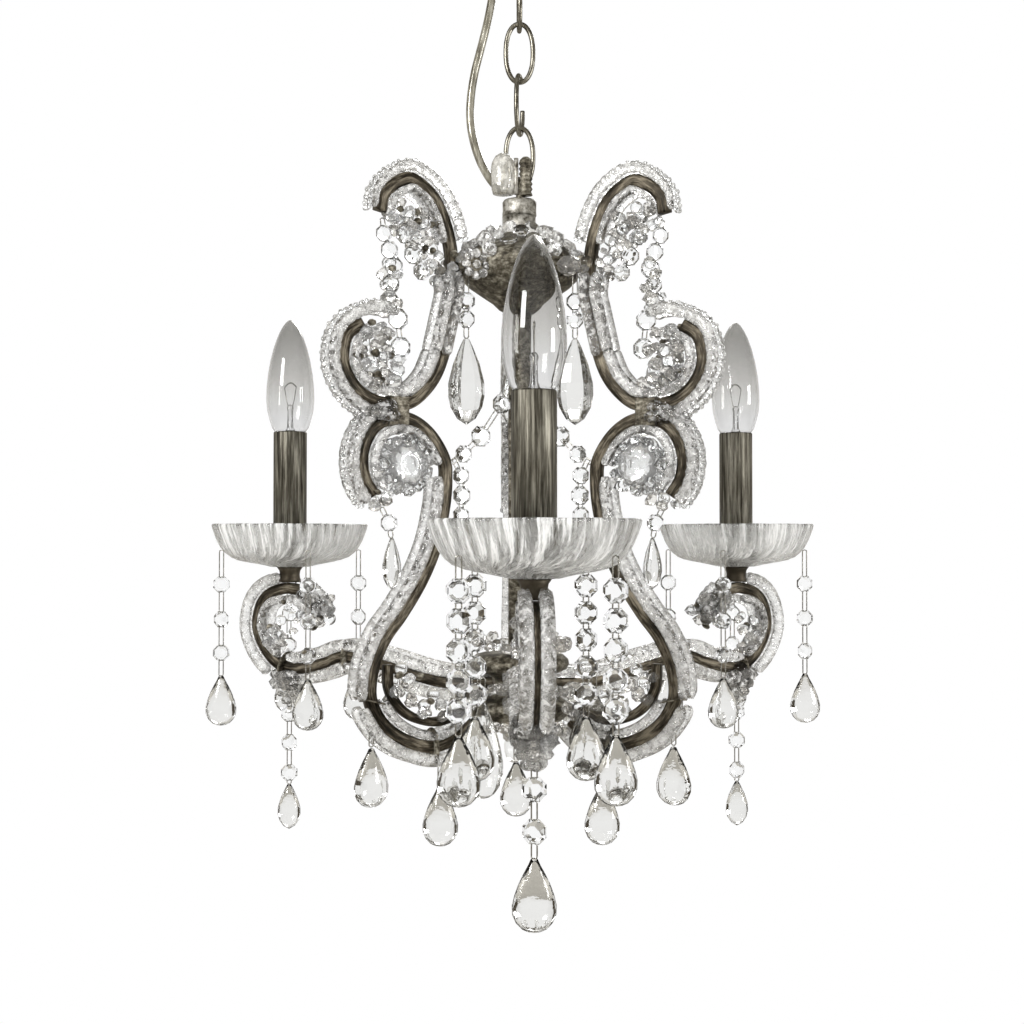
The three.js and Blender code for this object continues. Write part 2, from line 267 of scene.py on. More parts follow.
def pin_wire():
    """The thin pins between beads."""
    m = Surface("pin_wire")
    m.set(Metallic=1.0, Roughness=0.25)
    m.paint("Base Color", m.noise(m.coords, 300), (0.35, (0.3, 0.29, 0.26)), (0.65, (0.62, 0.61, 0.58)))
    return m.material


CLEAR_TINT = (0.97, 0.975, 0.975)


def clear_glass(name, haze=0.0, mottle=0.0, bump=0.0, scale=300, facets=0.0, tint=CLEAR_TINT):
    """Clear glass. Haze makes it milky all over and mottle in patches, bump adds soft moulding marks, and
    facets adds small cut faces."""
    m = Surface(name)
    m.set(Roughness=0.0, IOR=1.5)
    m.surface.inputs["Transmission Weight"].default_value = 1 - haze
    if mottle:
        patches = m.noise(m.coords, 260, 5, 0.7)
        m.paint("Transmission Weight", patches, (0.47, grey(1 - haze)), (0.6, grey(1 - haze - mottle)))
    m.paint("Base Color", m.noise(m.coords, 60, 3), (0.3, tuple(c * 0.97 for c in tint)), (0.7, tint))
    if bump:
        height = m.noise(m.coords, scale, 3, 0.55)
        if facets:
            cells = m.node("TexVoronoi", Scale=scale)
            m.link(m.coords, cells.inputs["Vector"])
            height = m.math("MULTIPLY_ADD", cells.outputs["Distance"], facets, height)
        m.bump(height, bump, 0.0014)
    return m.material


def pressed_dish(name, haze, painted_shade_tone):
    """Dish glass: clear, with milky streaks and streaks of painted shade (dark lines in the base colour that
    stand in for the dark things the glass bends), fanning out along the flow stored on its points.
    """
    m = Surface(name)
    m.set(Roughness=0.0, IOR=1.33)
    streaks = m.noise(m.flowing(1.6, 1, 1), 420, 6, 0.72)
    milk = (0.48, grey(1.0)), (0.53, grey(1 - 0.6 * haze)), (0.6, grey(1 - haze))
    m.paint("Transmission Weight", streaks, *milk)
    # Painted shade: the darkest streaks of the base colour stand in for dark refractions.
    m.paint("Base Color", streaks, (0.36, painted_shade_tone), (0.4, (0.98, 0.98, 0.97)), (0.7, (1.0, 1.0, 0.99)))
    m.bump(streaks, 0.8, 0.0012)
    return m.material


def bulb_with_painted_shade():
    """Bulb glass, clear at the base and grey towards the tip: painted shade, darker towards the tip, that
    stands in for the dark surroundings the glass mirrors.
    """
    m = Surface("bulb_glass")
    m.set(Roughness=0.0, IOR=1.45)
    m.surface.inputs["Transmission Weight"].default_value = 1.0
    axes = m.node("SeparateXYZ")
    m.link(m.coords, axes.inputs[0])
    height = m.node("MapRange")
    for socket, value in zip(("From Min", "From Max"), (DATUM + 0.085, DATUM + 0.15)):
        height.inputs[socket].default_value = value
    m.link(axes.outputs["Z"], height.inputs["Value"])
    # Painted shade: the base colour greys from the clear base towards the tip.
    stops = (0.0, grey(0.88)), (0.4, (0.75, 0.745, 0.73)), (1.0, (0.56, 0.555, 0.54))
    m.paint("Base Color", height.outputs["Result"], *stops)
    return m.material


def cord_clear():
    """Clear insulation over two bright stranded wires: a pale line down each side of a darker groove."""
    m = Surface("cord_clear")
    m.set(Metallic=0.35, Roughness=0.24)
    m.surface.inputs["Coat Weight"].default_value = 0.8
    streaks = m.noise(m.stretched(1, 1, 0.25), 260, 4)
    stops = (0.32, (0.1, 0.09, 0.065)), (0.5, (0.3, 0.28, 0.22)), (0.7, (0.62, 0.6, 0.52))
    m.paint("Base Color", streaks, *stops)
    m.bump(m.noise(m.stretched(1, 1, 0.6), 900, 2), 0.15, 0.0004)
    return m.material


def socket_white():
    m = Surface("socket_white")
    m.set(Roughness=0.5)
    m.paint("Base Color", m.noise(m.coords, 50), (0.3, (0.62, 0.6, 0.55)), (0.7, (0.75, 0.73, 0.68)))
    return m.material


METAL = aged_nickel()
STRAP = strap_metal()
NECK = mottled_neck()
SLEEVE = brushed_sleeve()
SILVER = chain_silver()
PIN = pin_wire()
RIBBED = {"scale": 330, "facets": 0.7}
CRYSTAL = clear_glass("cut_crystal")
MILKY = clear_glass("milky_crystal", haze=0.13)
CAP = clear_glass("wire_cap_plastic", haze=0.3, mottle=0.4, bump=0.5, scale=240, tint=(0.84, 0.82, 0.76))
PRESSED = clear_glass("pressed_glass", mottle=0.55, bump=0.9, tint=(0.97, 0.965, 0.95), **RIBBED)
# The last colour given to each dish glass is the painted shade of its dark streaks.
MOULDED = pressed_dish("moulded_dish", 0.9, (0.2, 0.18, 0.14))
BOSS = pressed_dish("moulded_boss", 0.7, (0.55, 0.53, 0.48))
STONE = clear_glass("cluster_stone", haze=0.1, tint=(0.93, 0.915, 0.885))
STUD = clear_glass("bell_stud", haze=0.1, mottle=0.8, tint=(1.0, 0.995, 0.98))
DROP = clear_glass("cut_drop", bump=0.3, scale=130, tint=(0.85, 0.85, 0.835))
FROSTED = clear_glass("frosted_rod", haze=0.15, mottle=0.7, bump=1.0, tint=(0.95, 0.94, 0.92), **RIBBED)
ARM_GLASS = clear_glass("arm_glass", mottle=0.8, bump=0.9, tint=(1.0, 0.995, 0.98), **RIBBED)
BULB_GLASS = bulb_with_painted_shade()
CORD = cord_clear()
SOCKET = socket_white()


# ---------------- mesh makers
def weld(mesh):
    """Merges doubled points and turns every face outwards."""
    shape = bmesh.new()
    shape.from_mesh(mesh)
    bmesh.ops.remove_doubles(shape, verts=shape.verts, dist=1e-6)
    bmesh.ops.recalc_face_normals(shape, faces=shape.faces)
    shape.to_mesh(mesh)
    shape.free()


def new_object(name, verts, faces, material, smooth=True, place=None, flow=None):
    mesh = bpy.data.meshes.new(name)
    mesh.from_pydata([Vector(v) for v in verts], [], faces)
    if flow is not None:
        mesh.attributes.new("flow", "FLOAT_VECTOR", "POINT").data.foreach_set("vector", flow)
    mesh.validate()
    made = placed(name, mesh)
    mesh.materials.append(material)
    if place is not None:
        mesh.transform(place)
    weld(mesh)
    for face in mesh.polygons:
        face.use_smooth = smooth
    return made


def joined(name, parts):
    """Several objects made one, keeping their materials."""
    bpy.ops.object.select_all(action="DESELECT")
    for part in parts:
        part.select_set(True)
    bpy.context.view_layer.objects.active = parts[0]
    bpy.ops.object.join()
    parts[0].name = name
    parts[0].data.name = name
    return parts[0]


def lathe_data(profile, steps, waves=0, depth=0.0, wave_from=0.0):
    """Vertices and faces of a profile of (radius, height) in millimetres turned about Z.
    With waves the radius is scalloped, by depth at the profile's widest and less further in."""
    widest = max(r for r, _ in profile)
    verts, faces = [], []
    rings = []
    for radius, height in profile:
        ring = []
        if radius < 1e-6:
            ring = [len(verts)] * steps
            verts.append((0, 0, height * MM))
        else:
            share = max(0.0, (radius / widest - wave_from) / (1 - wave_from)) if wave_from < 1 else 0
            for i in range(steps):
                turn = 2 * math.pi * i / steps
                wide = radius * (1 + depth * share * abs(math.sin(turn * waves / 2))) if waves else radius
                ring.append(len(verts))
                verts.append((wide * MM * math.cos(turn), wide * MM * math.sin(turn), height * MM))
        rings.append(ring)
    for low, high in zip(rings, rings[1:]):
        for i in range(steps):
            j = (i + 1) % steps
            quad = [low[i], low[j], high[j], high[i]]
            face = []
            for v in quad:
                if v not in face:
                    face.append(v)
            if len(face) > 2:
                faces.append(face)
    return verts, faces


def lathe(name, profile, material, steps=48, smooth=True, place=None, **waves):
    verts, faces = lathe_data(profile, steps, **waves)
    return new_object(name, verts, faces, material, smooth, place)


def smooth_line(points, per_span=10):
    """Points of a Catmull-Rom curve through the given ones, as Vectors."""
    ends = [Vector(p) for p in points]
    ends = [2 * ends[0] - ends[1], *ends, 2 * ends[-1] - ends[-2]]
    line = []
    for a, b, c, d in zip(ends, ends[1:], ends[2:], ends[3:]):
        for i in range(per_span):
            t = i / per_span
            square, cube = 2 * a - 5 * b + 4 * c - d, 3 * b - a - 3 * c + d
            line.append(0.5 * ((2 * b) + (c - a) * t + square * t * t + cube * t**3))
    line.append(ends[-2])
    return line


def evenly(line, step):
    """The same line with points about step apart."""
    along = [0.0]
    for a, b in zip(line, line[1:]):
        along.append(along[-1] + (b - a).length)
    count = max(2, round(along[-1] / step))
    out, k = [], 0
    for i in range(count + 1):
        want = along[-1] * i / count
        while k < len(along) - 2 and along[k + 1] < want:
            k += 1
        share = (want - along[k]) / max(along[k + 1] - along[k], 1e-12)
        out.append(line[k].lerp(line[k + 1], min(max(share, 0), 1)))
    return out


def flat_route(points):
    """(x, height) points in millimetres as points in the XZ plane."""
    return [(x * MM, 0, z * MM) for x, z in points]


def tangent_at(line, i):
    return (line[min(i + 1, len(line) - 1)] - line[max(i - 1, 0)]).normalized()


def tube_faces(size, count, closed=False):
    """Faces over count rings of size points each. An open tube gets two end caps."""
    faces = []
    for i in range(count if closed else count - 1):
        j = (i + 1) % count
        for k in range(size):
            n = (k + 1) % size
            faces.append([i * size + k, i * size + n, j * size + n, j * size + k])
    if not closed:
        faces.append(list(range(size)))
        faces.append(list(range((count - 1) * size, count * size)))
    return faces


def swept_data(line, section_at):
    """A closed solid along a line in the XZ plane.

    section_at(i, share) gives (across, left) pairs in metres.
    """
    across = Vector((0, 1, 0))
    verts = []
    for i, here in enumerate(line):
        left = tangent_at(line, i).cross(across)
        section = section_at(i, i / (len(line) - 1))
        verts += [here + across * a + left * b for a, b in section]
    return verts, tube_faces(len(section), len(line))


def swept(name, points, section_at, material, step=1.6 * MM, smooth=True, place=None):
    line = evenly(smooth_line(flat_route(points)), step)
    verts, faces = swept_data(line, section_at)
    flow = []
    for i in range(len(line)):
        for across, left in section_at(i, i / (len(line) - 1)):
            flow += [i * step, across, left]
    return new_object(name, verts, faces, material, smooth, place, flow)


def ring_data(line, radius, sides=12, closed=True):
    """A round tube along a line of points."""
    verts = []
    count = len(line)
    normal = None
    for i, here in enumerate(line):
        if closed:
            tangent = (line[(i + 1) % count] - line[i - 1]).normalized()
        else:
            tangent = tangent_at(line, i)
        if normal is None:
            normal = tangent.orthogonal().normalized()
        normal = (normal - tangent * normal.dot(tangent)).normalized()
        other = tangent.cross(normal)
        for k in range(sides):
            turn = 2 * math.pi * k / sides
            verts.append(here + (normal * math.cos(turn) + other * math.sin(turn)) * radius)
    return verts, tube_faces(sides, count, closed)


def tube(name, points, radius, material, closed=False, sides=12, place=None):
    verts, faces = ring_data([Vector(p) for p in points], radius, sides, closed)
    return new_object(name, verts, faces, material, True, place)


def finished(obj, body, slot, *nodes):
    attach(obj, body)
    if nodes:
        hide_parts(*nodes)
    return obj


# ---------------- cord and chain
# The cord's route from the neck up into the canopy, as (x, height above the datum).
CORD_ROUTE = (
    (-12, 232), (-17, 236), (-22, 243), (-27, 253), (-31, 266), (-33, 280), (-32.5, 295),
    (-30, 311), (-26, 327), (-22, 343), (-19, 358), (-17, 372), (-16, 384), (-16, 396), (-16, 403),
)
CORD_WIDTH = 5.4 * MM


def cord():
    line = evenly(smooth_line([(x * MM, 0, z * MM + DATUM) for x, z in CORD_ROUTE]), 1.5 * MM)
    verts, faces = ring_data(line, CORD_WIDTH / 2, 16, closed=False)
    made = new_object("lamp_cord", verts, faces, CORD)
    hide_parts("cord")
    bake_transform(made)
    return made


LINK_LENGTH, LINK_WIDTH, LINK_WIRE = 43, 22, 3.8
LINK_WIRE_RADIUS = 1.65 * MM  # a little thinner than LINK_WIRE, which only places the wire's middle
LINK_TOP, LINK_RISE = 381, 35.0
OPEN_LINK = 3  # the link with one side open, turned a little out of line
OPEN_SHARE, OPEN_TURN = 0.2, 0.27
LOOP_WIRE_RADIUS = 2.1 * MM


def oval(radius, straight, upright_turn):
    """A closed stadium line in millimetres, upright in a plane turned about Z."""
    points = []
    for end in (1, -1):
        for i in range(17):
            turn = math.pi * i / 16 + (0 if end > 0 else math.pi)
            height = radius * math.sin(turn) + end * straight / 2
            points.append(Vector((radius * math.cos(turn), 0, height)) * MM)
    spin = Matrix.Rotation(upright_turn, 4, "Z")
    return evenly([spin @ p for p in points + points[:1]], 1.2 * MM)[:-1]


def link_line(turn, opening=0.0):
    """An egg-round link: narrower at its ends than a plain stadium. With an opening, given as a share of the
    link's way round, it stays open over one side's upper part."""
    half_wide = (LINK_WIDTH - LINK_WIRE) / 2
    half_long = (LINK_LENGTH - LINK_WIRE) / 2
    spin = Matrix.Rotation(turn, 4, "Z")
    line = []
    for i in range(96):
        angle = 2 * math.pi * (opening + (1 - opening) * i / 96)
        x = half_wide * math.copysign(abs(math.cos(angle)) ** 0.9, math.cos(angle))
        z = half_long * math.copysign(abs(math.sin(angle)) ** 0.9, math.sin(angle))
        line.append(spin @ Vector((x, 0, z)) * MM)
    return line


def chain():
    for i in range(4):
        number = i + 1
        node = f"chain_link_{number}"
        middle = LINK_TOP - LINK_LENGTH / 2 - LINK_RISE * i
        turn = 0 if i % 2 else math.pi / 2
        opened = number == OPEN_LINK
        line = link_line(turn - OPEN_TURN, OPEN_SHARE) if opened else link_line(turn)
        wire = tube(f"link_wire_{number}", line, LINK_WIRE_RADIUS, SILVER, not opened, 14, raised(z=middle))
        finished(wire, node, "silver_metal", node)


# ---------------- ceiling end
def ceiling():
    outside = [
        (5.8, 392), (24, 392), (33, 393.4), (41, 396.2), (48, 400), (54, 404.6), (58, 409.8), (59.6, 414.9),
    ]
    inside = [
        (58.4, 414.9), (56.8, 410.3), (52.8, 405.6), (47, 401.4), (40, 397.7), (32.5, 395), (23.8, 393.5),
        (5.8, 393.5),
    ]
    dome = lathe("canopy_dome", [*outside, *inside, outside[0]], METAL, 96, place=raised())
    finished(dome, "ceiling", "aged_nickel", "canopy")
    profile = [
        (0, 411.6), (5.4, 411.6), (5.4, 391.5), (9.3, 391.4), (9.4, 389), (8.4, 387.4), (4, 387.2),
        (0, 387.2),
    ]
    screw = lathe("canopy_screw", profile, SILVER, 40, place=raised())
    ring = tube("canopy_ring", oval(7, 0.02, 0), LOOP_WIRE_RADIUS, SILVER, True, 14, raised(z=381.7))
    finished(joined("canopy_screw_loop", [screw, ring]), "ceiling", "silver_metal", "canopy_loop")
    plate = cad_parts["ceiling_plate"]
    plate.data.materials.clear()
    plate.data.materials.append(SILVER)


# ---------------- crystal shapes
def octagon_data(radius, thick=0.5):
    """An eight-sided cut bead round the origin: a flat table on each face, a slope and a narrow girdle."""
    profile = [(0.0, thick), (0.55, thick), (1.0, 0.12), (1.0, -0.12), (0.55, -thick), (0.0, -thick)]
    verts, faces = lathe_data([(r * radius, z * radius) for r, z in profile], 8)
    stand = rotation(90, "X") @ rotation(22.5, "Z")
    return [stand @ Vector(v) for v in verts], faces


def drop_data(length, radius, sides=20, flat=0.62, slim=False):
    """A cut drop that hangs from its tip at the origin."""
    if slim:
        shape = [
            (0, 0), (0.02, 0.16), (0.1, 0.34), (0.3, 0.72), (0.52, 0.98), (0.66, 1.0), (0.8, 0.86),
            (0.93, 0.5), (1, 0),
        ]
    else:
        shape = [
            (0, 0), (0.02, 0.16), (0.1, 0.28), (0.22, 0.5), (0.36, 0.72), (0.5, 0.89), (0.64, 1.0),
            (0.76, 0.98), (0.87, 0.82), (0.95, 0.56), (0.985, 0.3), (1, 0),
        ]
    verts, faces = lathe_data([(wide * radius, -down * length) for down, wide in shape], sides)
    return [(x, y * flat, z) for x, y, z in verts], faces


def rosette_data(radius):
    """A pressed flower with eight petals, lying in the XZ plane."""
    shape = [
        (0, 0.5), (0.22, 0.52), (0.36, 0.3), (0.5, 0.34), (0.85, 0.3), (1.0, 0.05), (0.85, -0.2), (0, -0.22),
    ]
    profile = [(r * radius, z * radius) for r, z in shape]
    verts, faces = lathe_data(profile, 48, waves=8, depth=0.22, wave_from=0.3)
    stand = rotation(90, "X")
    return [stand @ Vector(v) for v in verts], faces


class Pile:
    """Collects many small shapes into one mesh with several materials, then makes one object of them."""

    def __init__(self, name):
        self.name = name
        self.verts, self.faces, self.kinds, self.smooth, self.materials = [], [], [], [], []

    def add(self, data, place, material, smooth=False):
        verts, faces = data
        first = len(self.verts)
        self.verts += [place @ Vector(v) for v in verts]
        self.faces += [[first + i for i in face] for face in faces]
        if material not in self.materials:
            self.materials.append(material)
        self.kinds += [self.materials.index(material)] * len(faces)
        self.smooth += [smooth] * len(faces)

    def pin(self, a, b, place):
        """The bent wire pin between two beads: a long thin ring."""
        a, b = Vector(a), Vector(b)
        along = b - a
        if along.length < 0.5 * MM:
            return
        across = along.cross(Vector((0, 1, 0))).normalized() * 1.5 * MM
        tips = along.normalized() * 1.2 * MM
        line = [a + across, b + across, b + tips * 0.6, b - across, a - across, a - tips * 0.6]
        self.add(ring_data(evenly(line + line[:1], 1.6 * MM)[:-1], 0.42 * MM, 6), place, PIN, True)

    def string(self, beads, place, start=None, end=None, turns=()):
        """Beads given as (x, height, radius) in millimetres in the XZ plane, with pins between them.
        Turns gives how far each bead is turned about the vertical."""
        before = None if start is None else Vector((start[0], 0, start[1])) * MM
        reach = 0.0
        for i, (x, z, radius) in enumerate(beads):
            here = Vector((x, 0, z)) * MM
            spin = rotation(turns[i % len(turns)] if turns else 0, "Z")
            self.add(octagon_data(radius), place @ Matrix.Translation(here) @ spin, CRYSTAL)
            if before is not None:
                step = (here - before).normalized()
                self.pin(before + step * reach, here - step * radius * 0.85 * MM, place)
            before, reach = here, radius * 0.85 * MM
        if end is not None and before is not None:
            last = Vector((end[0], 0, end[1])) * MM
            self.pin(before + (last - before).normalized() * reach, last, place)

    def make(self):
        mesh = bpy.data.meshes.new(self.name)
        mesh.from_pydata(self.verts, [], self.faces)
        made = placed(self.name, mesh)
        for material in self.materials:
            mesh.materials.append(material)
        mesh.polygons.foreach_set("material_index", self.kinds)
        mesh.polygons.foreach_set("use_smooth", self.smooth)
        mesh.validate()
        weld(mesh)
        return made


# ---------------- the middle of the fixture
def fixture_loop():
    collar_profile = [
        (0, 214.3), (10.9, 214.3), (11.4, 215), (11.2, 218), (11.4, 223.6), (10.4, 225), (5, 226.6),
        (0, 226.8),
    ]
    collar = lathe("loop_collar", collar_profile, NECK, 48, place=raised())
    ring = tube("loop_ring", oval(7, 8, math.pi / 2), LOOP_WIRE_RADIUS, METAL, True, 14, raised(z=228))
    finished(joined("neck_loop", [collar, ring]), "fixture", "aged_nickel", "fixture_loop")
    shell = [(0, 0), (7, 0), (7.8, 3), (8.2, 10), (8.4, 16), (7.6, 21), (5.4, 25), (2.4, 27), (0, 27.4)]
    cap = lathe("wire_cap", shell, CAP, 32, place=raised(-11, -6, 228))
    thread = [(4.6 if k % 2 else 3.6, 229 + 1.7 * k) for k in range(12)]
    screw_profile = [(0, 226.6), (4.6, 226.6), *thread, (4, 250), (2, 252), (0, 252.4)]
    screw = lathe("loop_screw", screw_profile, METAL, 24, place=raised(3.8, -8.4))
    pin = tube("loop_pin", [raised(-2.6, -9, z).translation for z in (227, 236, 245, 251)], 1.6 * MM, NECK)
    finished(joined("loop_screw_and_pin", [screw, pin]), "fixture", "aged_nickel")
    wires = [
        tube("wire_end", smooth_line([raised() @ (Vector(p) * MM) for p in line]), 0.9 * MM, CORD, sides=8)
        for line in (
            [(-12, 0, 232), (-10, -5, 229), (-8, -7, 236), (-8, -6.5, 246)],
            [(-13, 0, 233), (-12, -5, 231), (-11, -7, 238), (-9.6, -6, 247)],
        )
    ]
    finished(joined("wire_cap_and_ends", [cap, *wires]), "fixture", "cord_plastic")


BELL_OUTSIDE = [
    (7.8, 149), (10, 149.6), (14, 152), (18, 156), (26, 161.4), (34, 167), (38.5, 171.5), (41, 177),
    (41.2, 181), (39, 185.5), (33, 191), (25, 195.4), (17, 198.6), (12.4, 201),
]
NECK_OUTSIDE = [(12.4, 201), (11.2, 204), (10.8, 208), (10.9, 213.6), (7.8, 213.6), (7.8, 201), (12.4, 201)]


def bell():
    shell = lathe("bell_shell", [*BELL_OUTSIDE, (7.8, 201), (7.8, 149)], METAL, 96, place=raised())
    neck = lathe("bell_neck", NECK_OUTSIDE, NECK, 48, place=raised())
    finished(joined("bell_body", [shell, neck]), "fixture", "aged_nickel", "bell")
    pile = Pile("bell_crystals")
    for count, radius, height, bead, tilt in (
        (7, 17.5, 203.5, 5.4, 24), (10, 26, 199, 5.8, 42), (13, 34, 192.5, 6.2, 55), (12, 41.5, 185, 5.4, 75),
    ):
        for i in range(count):
            turn = facing(360 / count * (i + 0.5 * (count % 2)))
            lean = rotation(90, "Z") @ rotation(-tilt, "X")
            spot = raised() @ turn @ Matrix.Translation((radius * MM, 0, height * MM)) @ lean
            data = stone_data(bead * 1.1) if i % 2 else octagon_data(bead)
            pile.add(data, spot, STUD if i % 4 else CRYSTAL)
    for angle in FRAME_ANGLES:
        front = facing(angle) @ shift(43, 0, 175)
        for side in (1, -1):
            face = Matrix.Identity(4) if side < 0 else Matrix.Rotation(math.pi, 4, "Z")
            bed = raised() @ front @ Matrix.Translation((0, side * 14 * MM, 0)) @ face
            if angle == FRAME_ANGLES[0]:
                pile.add(stone_data(9), bed @ any_turn(), STONE)
                continue
            pile.add(rosette_data(6), bed, METAL, True)
            pile.add(pearl_data(2.8), bed @ Matrix.Translation((0, -2.6 * MM, 0)), STUD, True)
            for k in range(8):
                petal = Matrix.Rotation(math.pi * k / 4, 4, "Y") @ Matrix.Translation((7.2 * MM, -2 * MM, 0))
                pile.add(pearl_data(3), bed @ petal, STUD, True)
    finished(pile.make(), "fixture", "crystal_glass")


def stem_and_hub():
    tube_profile = [(6.2, -118.9), (7.5, -118.9), (7.5, 213.4), (6.2, 213.4), (6.2, -118.9)]
    stem = lathe("stem_tube", tube_profile, METAL, 48, place=raised())
    finished(stem, "fixture", "aged_nickel", "stem")
    upper = [
        (7.8, -76), (22, -76.2), (29, -78), (32.4, -81), (33, -84), (31.4, -87), (27, -89.4), (21, -90.8),
    ]
    lower = [
        (18.4, -93), (17.6, -98), (18.4, -103), (22, -105.4), (28, -107), (32.4, -110), (33.8, -114),
        (32.6, -118), (29, -121),
    ]
    finial = [(20, -122.6), (16, -124.6), (13, -128), (9, -131.6), (4, -134.4), (0, -135.8)]
    profile = [(0, -119.4), (7.8, -119.4), *upper, *lower, *finial]
    finished(lathe("hub_body", profile, METAL, 96, place=raised()), "fixture", "aged_nickel", "hub")
    pile = Pile("hub_crystals")
    for i in range(30):
        turn = raised() @ facing(6 + 12 * i)
        for row, (radius, height, size) in enumerate(((31, -70, 5), (37, -99, 5.4), (35, -124, 4.8))):
            spot = Vector((radius + rng.uniform(-3, 3), 0, height + rng.uniform(-4, 4))) * MM
            place = turn @ Matrix.Translation(spot) @ any_turn()
            if (i + row) % 4 == 3:
                pile.add(pearl_data(size * 0.8), place, CRYSTAL, True)
            else:
                pile.add(stone_data(size * rng.uniform(0.8, 1.2)), place, STONE)
    for angle, out, top, length, radius in ((328, 47, -104, 62, 13), (50, 60, -100, 44, 16)):
        spot = hanging_at(angle, out * MM)
        pile.pin((0, 0, (top + 14) * MM), (0, 0, (top - 1) * MM), spot)
        pile.add(drop_data(length, radius, 14, 0.5), spot @ Matrix.Translation((0, 0, top * MM)), DROP)
    finished(pile.make(), "fixture", "crystal_glass")


# ---------------- straps and their glass covers
def strap_section(_i, _share):
    wide, thick, cut = 3.0 * MM, 4.0 * MM, 0.7 * MM
    return [
        (-wide + cut, -thick), (wide - cut, -thick), (wide, -thick + cut), (wide, thick - cut),
        (wide - cut, thick), (-wide + cut, thick), (-wide, thick - cut), (-wide, -thick + cut),
    ]


# For each face: its sign, how far a glass rod's middle is from the scroll's plane, and half the rod's
# thickness.
FRAME_SIDES = ((1, 5.5, 3.7), (-1, 5.5, 3.7))
ARM_SIDES = ((1, 4.8, 3.0), (-1, 7.2, 5.2))
ROD_LEFT = 8.2  # from the strap's middle to the middle of a glass rod, in the scroll's plane
ROD_STEP = 1.25
SCALLOP_PITCH = 5.0


def rod_section(side, left, size, scallop, taper):
    """A ribbed glass rod along the strap. Side is the face it lies on with the rod's place and half its
    thickness there, and left is how far the rod is from the strap's middle."""
    face, across, half = side

    def section(i, share):
        end = min(1.0, 0.6 + 12 * min(share, 1 - share))
        wide = size * (taper + (1 - taper) * min(1.0, 2.2 * share))
        bulge = 1 + scallop * abs(math.sin(math.pi * i * ROD_STEP / SCALLOP_PITCH))
        inner = math.copysign(4.4, left) if left else 0.0
        middle = inner + (left - inner) * wide
        outline = []
        for k in range(14):
            turn = 2 * math.pi * k / 14
            rib = (1.07 if k % 2 else 0.93) * end
            a = face * (across + half * rib * math.cos(turn))
            b = middle + 3.9 * wide * rib * bulge * math.sin(turn)
            outline.append((a * MM, b * MM))
        return outline

    return section


def rods(name, points, place, rows, taper=1.0, nodes=(), glass=PRESSED, sides=FRAME_SIDES):
    """The moulded glass along a strap, on both its faces. Each row is (left, size, scallop)."""
    parts = []
    for left, size, scallop in rows:
        for side in sides:
            shape = rod_section(side, left, size, scallop, taper)
            parts.append(swept(name, points, shape, glass, ROD_STEP * MM, place=place))
    finished(joined(name, parts), "fixture", "crystal_glass", *nodes)


def pearl_data(radius):
    """A small round glass bead."""
    rounds = 5 if radius < 2 else 8
    turns = [math.pi * k / rounds for k in range(rounds + 1)]
    profile = [(radius * math.sin(turn), -radius * math.cos(turn)) for turn in turns]
    return lathe_data(profile, 2 * rounds)


def lace(pile, points, edge, place, reach=11.6, taper=1.0, pitch=3.2):
    """Two rows of tiny pearls moulded along a scroll's outer edge."""
    line = evenly(smooth_line(flat_route(points)), pitch * MM)
    for i, here in enumerate(line):
        left = tangent_at(line, i).cross(Vector((0, 1, 0)))
        share = taper + (1 - taper) * min(1.0, 2.2 * i / (len(line) - 1))
        out = 4.4 + (reach - 4.4) * share + 0.4 * (i % 2)
        for across in (-3.2, 3.2):
            spot = here + left * edge * out * MM + Vector((0, across * MM, 0))
            pile.add(pearl_data(1.7), place @ Matrix.Translation(spot), CRYSTAL, True)


def stone_data(radius):
    """A rough-cut glass stone with flat faces."""
    verts, faces = lathe_data([(0, 0.8), (0.62, 0.55), (1.0, 0.0), (0.66, -0.5), (0, -0.75)], 7)
    return [Vector(v) * radius * rng.uniform(0.85, 1.15) for v in verts], faces


def any_turn():
    return Matrix.Rotation(rng.uniform(0, 6.28), 4, "Z") @ Matrix.Rotation(rng.uniform(-0.9, 0.9), 4, "X")


def cluster(pile, place, centre, reach, count, size, across=(3.0, 7.0)):
    """Stones packed over an oval patch of the scroll's plane, on both its faces."""
    for i in range(count):
        turn = i * 2.399963
        out = math.sqrt((i + 0.5) / count)
        x = centre[0] + reach[0] * out * math.cos(turn)
        z = centre[1] + reach[1] * out * math.sin(turn)
        y = (1 if i % 2 else -1) * rng.uniform(*across)
        spot = shift(x, y, z)
        turned = place @ spot @ any_turn()
        if i % 6 == 3:
            pile.add(stone_data(size * 0.6), turned, METAL)
        elif i % 3 == 0:
            pile.add(pearl_data(size * 0.85), turned, CRYSTAL, True)
        else:
            pile.add(stone_data(size * rng.uniform(0.8, 1.1)), turned, MILKY if i % 4 == 1 else STONE)


def band_data(wide, tall, thick=0.9):
    """A thin metal band round the joint between two glass lengths, facing along X."""
    verts, faces = lathe_data([(0, -thick / 2), (1, -thick / 2), (1, thick / 2), (0, thick / 2)], 24)
    stand = rotation(90, "Y") @ Matrix.Diagonal((tall, wide, 1, 1))
    return [stand @ Vector(v) for v in verts], faces


def bands(name, joints, place):
    """Metal bands at (x, z, slope) joints along the straps."""
    pile = Pile(name)
    for x, z, slope in joints:
        lean = rotation(-slope, "Y")
        pile.add(band_data(9.0, 11.6), place @ shift(x, 0, z) @ lean, METAL, True)
    finished(pile.make(), "fixture", "aged_nickel")


